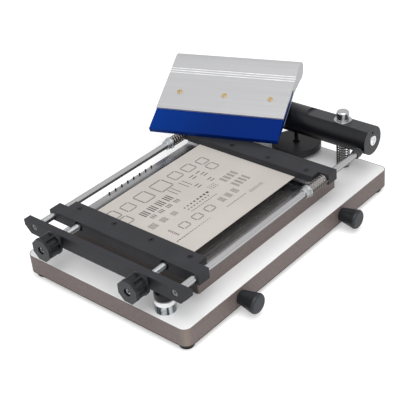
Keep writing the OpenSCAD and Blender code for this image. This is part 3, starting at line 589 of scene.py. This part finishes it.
def dress(node, edge):
    piece = link_piece(node + "_dressed", merged_copy(node))
    if edge > 0:
        bevel = piece.modifiers.new("broken edges", "BEVEL")
        bevel.width = edge
        bevel.segments = BEVEL_STEPS
        bevel.limit_method = "ANGLE"
        bevel.angle_limit = SHARP_TURN
        bevel.use_clamp_overlap = True
        flat = piece.modifiers.new("flat faces stay flat", "WEIGHTED_NORMAL")
        flat.keep_sharp = False
        flat.weight = STRONG_WEIGHT
        finished_mesh(piece)
    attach(piece, body_of_node[node])
    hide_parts(node)
    return piece


print("pieces with a finish of their own:", len(OWN_FINISH))

# %% [markdown]
# ## The base and the print table
# Boards come first because everything stands on them. The laminate and the band get the finest
# edges, the table's board a larger one. The small metal parts under and inside the base follow.
# The numbers are edge widths in millimetres.

# %% Base and table pieces
BOARD_EDGES = {
    "base_board": 0.2, "base_laminate": 0.2, "edge_band": 0.2, "base_feet": 0.5, "foot_screws": 0.2,
    "adjuster_bushes": 0.2, "table_board": 0.4, "table_sheet": 0.25, "register_strip": 0.15,
    "register_pins": 0.3, "drive_nut_front": 0.5, "drive_nut_rear": 0.5,
}
for node_name, width in BOARD_EDGES.items():
    dress(node_name, edge=width * MM)
print("dressed", len(BOARD_EDGES), "base and table solids")

# %% [markdown]
# ## Frame, hinge and squeegee
# The bars have crisp edges, the knobs rounder ones, and the bright nuts a polished rim. A table of
# edge widths in millimetres keeps the choice for each piece in one place. The stencil gets none: it
# is so thin that a bevel would eat its edge.

# %% Frame and squeegee pieces
FRAME_EDGES = {
    "adjuster_knob_front": 0.4, "adjuster_knob_rear": 0.4, "adjuster_screw_front": 0.2,
    "adjuster_screw_rear": 0.2, "stop_foot": 0.5, "stop_ring": 0.6, "stop_pad": 0.3, "hinge_posts": 0.4,
    "hinge_bar": 0.3, "hinge_pivots": 0.6, "post_washers": 0.3, "post_nut_left": 0.3,
    "post_nut_right": 0.3, "height_handwheel": 0.4, "height_spindle": 0.2, "thrust_washer": 0.1,
    "end_cap_left": 0.4, "end_cap_right": 0.4, "cap_set_screws": 0.15, "guide_rod_left": 0.2,
    "guide_rod_right": 0.2, "rod_lock_nuts": 0.4, "rod_collars": 0.4, "front_crossbar": 0.5,
    "crossbar_screws": 0.2, "front_tension_bar": 0.5, "front_jaw": 0.4, "front_clamp_screws": 0.15,
    "star_knob_left": 0.8, "star_knob_right": 0.8, "knob_inserts_left": 0.2, "knob_inserts_right": 0.2,
    "rear_tension_bar": 0.5, "rear_jaw": 0.4, "rear_clamp_screws": 0.15, "tension_spindles": 0.2,
    "squeegee_handle": 0.3, "squeegee_end_plugs": 0.3, "squeegee_clamp_strip": 0.3,
    "squeegee_blade": 0.3, "squeegee_screws": 0.25, "stencil": 0.0,
}
frame_pieces = {node_name: dress(node_name, edge=width * MM) for node_name, width in FRAME_EDGES.items()}
print("dressed", len(frame_pieces), "frame and squeegee solids")

# %% [markdown]
# ## Painted highlight in the handle's grooves
# Three fine grooves run along the handle and read as white lines, so their walls get a near-white
# finish, a painted highlight. Their walls are the handle's only long and very narrow faces, and
# that is how they are found.

# %% Paint a highlight in the grooves
LONG_FACE, NARROW_FACE = 100 * MM, 0.5 * MM
handle = frame_pieces["squeegee_handle"].data
# The grooves' walls get a near-white finish: a painted highlight.
handle.materials.append(moulded("groove painted highlight", (0.86, 0.86, 0.87), gloss=0.40))
groove_faces = 0
for face in handle.polygons:
    longest = max((handle.vertices[a].co - handle.vertices[b].co).length for a, b in face.edge_keys)
    if longest > LONG_FACE and face.area < NARROW_FACE * longest:
        face.material_index = 1
        groove_faces += 1
print("groove faces with painted highlight:", groove_faces)

# %% [markdown]
# ## Trees of Geometry Nodes
# Springs, threads and pads repeat one small shape many times, which is what Geometry Nodes are for.
# Every tree here has named inputs for its sizes and one for its finish, and ends the same way: the
# copies are made real and painted. A tree's input is set by its socket's identifier, before the
# piece is first worked out, and the result is kept as a plain mesh.

# %% Helpers for trees
def new_tree(name, inputs):
    tree = bpy.data.node_groups.new(name, "GeometryNodeTree")
    sockets = {}
    for label, kind in inputs.items():
        socket = tree.interface.new_socket(label, in_out="INPUT", socket_type="NodeSocket" + kind)
        sockets[label] = socket.identifier
    tree.interface.new_socket("Geometry", in_out="OUTPUT", socket_type="NodeSocketGeometry")
    return tree, sockets


def end_tree(tree, given, shape):
    realize, paint = tree.nodes.new("GeometryNodeRealizeInstances"), tree.nodes.new("GeometryNodeSetMaterial")
    tree.links.new(shape, realize.inputs["Geometry"])
    tree.links.new(realize.outputs["Geometry"], paint.inputs["Geometry"])
    tree.links.new(given.outputs["Finish"], paint.inputs["Material"])
    tree.links.new(paint.outputs["Geometry"], tree.nodes.new("NodeGroupOutput").inputs["Geometry"])


def run_tree(piece, tree, sockets, values):
    modifier = piece.modifiers.new(tree.name, "NODES")
    modifier.node_group = tree
    for label, value in values.items():
        modifier[sockets[label]] = value
    return finished_mesh(piece)


print("tree helpers ready")

# %% [markdown]
# ## A tree that winds a spring
# A spring is a wire swept along a spiral: Spiral gives the path, and Curve to Mesh sweeps a small
# circle along it. With the coil's size as named inputs, one tree makes every spring here, and the
# threads too. A ready-made screw modifier could do it, but it needs a profile object for each size.

# %% Winding tree
COIL_STEPS, WIRE_STEPS = 36, 10


def winding_tree():
    tree, sockets = new_tree("winding", {"Turns": "Float", "Coil Radius": "Float", "Length": "Float",
                                         "Wire Radius": "Float", "Finish": "Material"})
    add, link = tree.nodes.new, tree.links.new
    given, spiral = add("NodeGroupInput"), add("GeometryNodeCurveSpiral")
    wire, sweep = add("GeometryNodeCurvePrimitiveCircle"), add("GeometryNodeCurveToMesh")
    smooth = add("GeometryNodeSetShadeSmooth")
    spiral.inputs["Resolution"].default_value = COIL_STEPS
    wire.inputs["Resolution"].default_value = WIRE_STEPS
    sweep.inputs["Fill Caps"].default_value = True
    for label, socket in (("Turns", "Rotations"), ("Coil Radius", "Start Radius"),
                          ("Coil Radius", "End Radius"), ("Length", "Height")):
        link(given.outputs[label], spiral.inputs[socket])
    link(given.outputs["Wire Radius"], wire.inputs["Radius"])
    link(spiral.outputs["Curve"], sweep.inputs["Curve"])
    link(wire.outputs["Curve"], sweep.inputs["Profile Curve"])
    link(sweep.outputs["Mesh"], smooth.inputs["Geometry"])
    end_tree(tree, given, smooth.outputs["Geometry"])
    return tree, sockets


winding, winding_sockets = winding_tree()
print("winding tree inputs:", ", ".join(winding_sockets))

# %% [markdown]
# ## Winding coils where the CAD has them
# The helper winds one coil on an empty mesh and then copies its points to each place. Coils that
# ride on the same body are joined into one piece. A turned copy could end up inside out, so the
# faces are made to point outwards again.

# %% Wind and place coils
X, Y, Z = 0, 1, 2
ACROSS = {Y: Z, Z: Y}
TURN_ALONG = {Y: Matrix.Rotation(math.radians(-90), 4, "X"), Z: Matrix.Identity(4)}


def wind(name, turns, radius, length, wire, finish, places):
    piece = link_piece(name, bpy.data.meshes.new(name))
    single = run_tree(piece, winding, winding_sockets, {
        "Turns": turns, "Coil Radius": radius, "Length": length, "Wire Radius": wire,
        "Finish": finishes[finish]})
    joined = bmesh.new()
    for matrix in places:
        part = single.copy()
        part.transform(matrix)
        joined.from_mesh(part)
    bmesh.ops.recalc_face_normals(joined, faces=joined.faces)
    joined.to_mesh(single)
    joined.free()
    return piece


def pair_places(low, high, along, radius, start):
    across = ACROSS[along]
    places = []
    for x in (low[X] + radius, high[X] - radius):
        foot = Vector((x, 0, 0))
        foot[along], foot[across] = start, (low[across] + high[across]) / 2
        places.append(Matrix.Translation(foot) @ TURN_ALONG[along])
    return places


print("coils can run along", len(TURN_ALONG), "axes")

# %% [markdown]
# ## Rod springs and post springs
# The post springs get painted shade: their wire is darker in colour, because they stand in the
# hinge bar's shade.

# %% Rod springs and post springs
WIRE = 0.9 * MM


def spring_pair(name, node, along, turns, finish):
    low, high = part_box(node)
    outer = (high[ACROSS[along]] - low[ACROSS[along]]) / 2
    places = pair_places(low, high, along, outer, low[along] + WIRE)
    coils = wind(name, turns, outer - WIRE, high[along] - low[along] - 2 * WIRE, WIRE, finish, places)
    start = [0, low[Y], low[Z]]
    end = list(start)
    end[along] = high[along]
    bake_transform(coils)
    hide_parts(node)
    return coils


rod_coils = spring_pair("rod_coils", "rod_springs", Y, turns=8.0, finish="spring")
post_coils = spring_pair("post_coils", "post_springs", Z, turns=9.0, finish="post spring")
print("springs:", len(rod_coils.data.polygons) + len(post_coils.data.polygons), "faces")

# %% [markdown]
# ## The stencil's pad pattern
# A stencil for electronics is pierced with rows of fine slots where solder goes: rings of pads
# round each chip, bars for connectors and dots for ball contacts. This layout is made up here. Each
# mark is a dark inlay right through the sheet: painted shade, standing where a slot would show the
# shade beneath, from both sides. Real holes would cost hundreds of cuts and look the same from above.

# %% Points for the pads
marks = []
RING_GAP, PAD_LENGTH, PAD_SHARE = 2.0, 2.2, 0.64


def mark(x, y, width, length):
    marks.append((x * MM, y * MM, width * MM, length * MM))


def chip_ring(x, y, side_x, side_y, pitch):
    thin = pitch * PAD_SHARE
    for side, other, across in ((side_x, side_y, True), (side_y, side_x, False)):
        run = side - 2 * RING_GAP
        count = int(run / pitch)
        for i in range(count + 1):
            step = -side / 2 + RING_GAP + run * i / count
            for offset in (-other / 2, other / 2):
                if across:
                    mark(x + step, y + offset, thin, PAD_LENGTH)
                else:
                    mark(x + offset, y + step, PAD_LENGTH, thin)


def bar_row(x, y, count, pitch, thin, long):
    for i in range(count):
        mark(x + (i - (count - 1) / 2) * pitch, y, thin, long)


def bar_column(x, y, count, pitch, thin, long):
    for i in range(count):
        mark(x, y + (i - (count - 1) / 2) * pitch, long, thin)


def dot_grid(x, y, across, down, pitch, size):
    for j in range(down):
        bar_row(x, y + (j - (down - 1) / 2) * pitch, across, pitch, size, size)


print("pattern helpers ready")

# %% [markdown]
# ## Laying the pattern out
# Places are millimetres from the sheet's middle: X to the right, Y to the back. Big chips march
# down the left side, bars and dots fill the middle, and long dotted rows run along the right.

# %% Lay out the pads
for x, y, side_x, side_y in ((-62, -104, 20, 18), (-59, -76, 19, 17), (-58, -44, 25, 22), (-58, -8, 26, 25),
                             (-60, 25, 19, 18), (-58, 52, 18, 18), (-54, 79, 16, 16), (-32, 76, 16, 15),
                             (-38, -102, 18, 16)):
    chip_ring(x, y, side_x, side_y, 1.9)
for y in (-76, -60, -44, -28):
    bar_column(-27, y, 3, 4.2, 1.9, 15)
    bar_column(-12, y + 2, 3, 3.4, 1.3, 8)
for y in (-12, -5, 12, 19):
    mark(-32, y, 20, 1.1)
for x, y in ((-38, 36), (-32, 36), (-38, 50), (-30, 52), (-24, 52), (-16, 22), (-10, 22), (-12, 46), (-6, 46)):
    mark(x, y, 1.5, 9)
for i in range(3):
    dot_grid(4 + 1.5 * i, -92 + 20 * i, 9 - i, 9 - i, 1.4, 0.8)
for i in range(8):
    mark(10, -34 + 7.0 * i, 2.4 + 0.25 * i, 2.4 + 0.25 * i)
    mark(17, -33 + 6.0 * i, 1.8, 2.8)
dot_grid(24, -8, 1, 14, 4.0, 1.8)
dot_grid(6, 32, 3, 4, 4.0, 1.6)
for y in (54, 62, 70, 78):
    bar_row(8, y, 5, 2.8, 1.3, 5.0)
    bar_row(30, y, 6, 2.6, 1.2, 4.4)
for x, y in ((38, -66), (39, -40), (40, -15)):
    chip_ring(x, y, 13, 14, 1.7)
for x, y in ((40, 12), (40, 26), (40, 40)):
    dot_grid(x, y, 6, 4, 2.2, 1.3)
for i in range(16):
    mark(56, -100 + 4.4 * i, 1.7 - 0.04 * i, 3.2 - 0.1 * i)
dot_grid(58, 22, 1, 12, 3.6, 1.7)
dot_grid(60, 64, 2, 10, 3.0, 1.4)
bar_row(38, -88, 6, 3.4, 1.5, 4.2)
print("marks on the stencil:", len(marks))

# %% [markdown]
# ## One inlay on every point
# The points become a mesh whose attributes hold each mark's width and length, so rings, bars and
# dots share one tree. It puts a unit box on every point and stretches it to the attributes' size.
# Each box stands a hair proud of the sheet on both sides, or its face would flicker with the sheet's.

# %% Instance the inlays
PROUD = 0.15 * MM
WIDTH, LENGTH = "mark_width", "mark_length"
SLOT_CLOUDS, SLOT_GLOSS = 500.0, 900.0
SLOT_BROWNS = [(0.35, (0.035, 0.028, 0.026)), (0.65, (0.10, 0.082, 0.075))]


def inlay_finish():
    finish, shader = new_finish("pierced slot shadow")
    # The inlays' dark colour is painted shade.
    feed(finish, ramp(finish, noise(finish, SLOT_CLOUDS), SLOT_BROWNS), shader.inputs["Base Color"])
    roughen(finish, shader, noise(finish, SLOT_GLOSS), low=0.55, high=0.75)
    return finish


def inlay_tree():
    tree, sockets = new_tree("inlays", {"Geometry": "Geometry", "Thickness": "Float", "Finish": "Material"})
    add, link = tree.nodes.new, tree.links.new
    given, box = add("NodeGroupInput"), add("GeometryNodeMeshCube")
    copies, size = add("GeometryNodeInstanceOnPoints"), add("ShaderNodeCombineXYZ")
    for label, axis in ((WIDTH, "X"), (LENGTH, "Y")):
        read = add("GeometryNodeInputNamedAttribute")
        read.data_type = "FLOAT"
        read.inputs["Name"].default_value = label
        link(read.outputs["Attribute"], size.inputs[axis])
    link(given.outputs["Thickness"], size.inputs["Z"])
    link(given.outputs["Geometry"], copies.inputs["Points"])
    link(box.outputs["Mesh"], copies.inputs["Instance"])
    link(size.outputs["Vector"], copies.inputs["Scale"])
    end_tree(tree, given, copies.outputs["Instances"])
    return tree, sockets


sheet_low, sheet_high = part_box("stencil")
middle_x, middle_y, middle_z = ((a + b) / 2 for a, b in zip(sheet_low, sheet_high))
points = bpy.data.meshes.new("pad_points")
points.from_pydata([(middle_x + x, middle_y + y, middle_z) for x, y, *size in marks], [], [])
for label, column in ((WIDTH, 2), (LENGTH, 3)):
    attribute = points.attributes.new(label, "FLOAT", "POINT")
    for value, each in zip(attribute.data, marks):
        value.value = each[column]
pads = link_piece("stencil_pads", points)
run_tree(pads, *inlay_tree(), {"Thickness": sheet_high[2] - sheet_low[2] + PROUD, "Finish": inlay_finish()})
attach(pads, "front_clamp")
print("pad faces:", len(pads.data.polygons))

# %% [markdown]
# ## Threads on the spindles
# The tension spindles are threaded rod, and their ridges give them their rippled look. The same
# winding tree lays a fine wire round each spindle at the thread's pitch. The ridges start inside
# the crossbar, so they still clear the knobs' inserts when the bar is drawn fully forward.

# %% Wind the threads
PITCH, RIDGE = 1.25 * MM, 0.30 * MM
FORWARD_TRAVEL = 8 * MM
CLEAR_OF_INSERT, SHORT_OF_BAR = 0.5 * MM, 1.5 * MM
low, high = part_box("tension_spindles")
spindle_radius = (high[Z] - low[Z]) / 2
thread_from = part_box("front_crossbar")[0][Y] + FORWARD_TRAVEL + CLEAR_OF_INSERT
thread_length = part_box("front_tension_bar")[0][Y] - thread_from - SHORT_OF_BAR
thread_places = pair_places(low, high, Y, spindle_radius, thread_from)
threads = wind("spindle_threads", thread_length / PITCH, spindle_radius, thread_length, RIDGE, "steel",
               thread_places)
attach(threads, "front_clamp")
print("thread turns:", round(thread_length / PITCH))

# %% [markdown]
# ## Floor and world
# The photo is a cut-out on white. A large white floor gives that background and keeps a soft
# shadow. The camera sees the world as plain white, polished metal mirrors it a little dimmer, and
# the light that falls on the press is weaker still, so pale surfaces don't burn out.

# %% Floor and world
WHITE = (1.0, 1.0, 1.0, 1.0)
FLOOR_COLOUR, FLOOR_GLOW, FLOOR_REACH = (0.93, 0.93, 0.93, 1.0), 0.35, 3.0


def white_light(world, strength):
    node = new_node(world, "Background")
    node.inputs["Color"].default_value = WHITE
    feed(world, strength, node.inputs["Strength"])
    return node.outputs["Background"]


def bright_world(fill, mirrored):
    world = bpy.data.worlds.new("soft white room")
    world.use_nodes = True
    world.node_tree.nodes.clear()
    ray = new_node(world, "LightPath").outputs
    strength = number(world, "MULTIPLY_ADD", ray["Is Camera Ray"], 1.0 - mirrored, mirrored)
    seen = number(world, "MAXIMUM", number(world, "MAXIMUM", ray["Is Camera Ray"], ray["Is Glossy Ray"]),
                  ray["Is Transmission Ray"])
    choose = new_node(world, "MixShader")
    for value, socket in zip((seen, white_light(world, fill), white_light(world, strength)), choose.inputs):
        feed(world, value, socket)
    feed(world, choose.outputs["Shader"], new_node(world, "OutputWorld").inputs["Surface"])
    bpy.context.scene.world = world


def pale_floor():
    finish, shader = new_finish("pale floor")
    shader.inputs["Base Color"].default_value = FLOOR_COLOUR
    shader.inputs["Roughness"].default_value = 0.9
    shader.inputs["Specular IOR Level"].default_value = 0.0
    shader.inputs["Emission Color"].default_value = WHITE
    camera_ray = new_node(finish, "LightPath").outputs["Is Camera Ray"]
    feed(finish, number(finish, "MULTIPLY", camera_ray, FLOOR_GLOW), shader.inputs["Emission Strength"])
    mesh = bpy.data.meshes.new("floor")
    corners = [(x * FLOOR_REACH, y * FLOOR_REACH, 0) for x, y in ((-1, -1), (1, -1), (1, 1), (-1, 1))]
    mesh.from_pydata(corners, [], [range(len(corners))])
    mesh.materials.append(finish)
    link_piece("floor", mesh)


bright_world(fill=0.40, mirrored=0.80)
pale_floor()
print("floor reaches", FLOOR_REACH, "m each way")

# %% [markdown]
# ## Lamps
# Two large soft boxes do what a photo tent does: a broad one above the camera's right shoulder lights
# the tops and the faces turned to us, and a weaker one from the front left opens the shadows. They
# are large on purpose: a small, strong lamp would burn white spots into every polished rod.

# %% Lamps
AIM = Vector((0, 0, 0.05))


def soft_box(name, stand, size, power):
    light = bpy.data.lights.new(name, "AREA")
    light.shape = "SQUARE"
    light.size = size
    light.energy = power
    lamp = bpy.data.objects.new(name, light)
    lamp.location = stand
    lamp.rotation_mode = "QUATERNION"
    lamp.rotation_quaternion = (AIM - Vector(stand)).to_track_quat("-Z", "Y")
    bpy.context.scene.collection.objects.link(lamp)


soft_box("main box", (0.80, -0.55, 1.70), size=2.2, power=40.0)
soft_box("left box", (-1.3, -1.3, 1.0), size=1.6, power=5.0)
bpy.context.scene.view_settings.view_transform = "Standard"
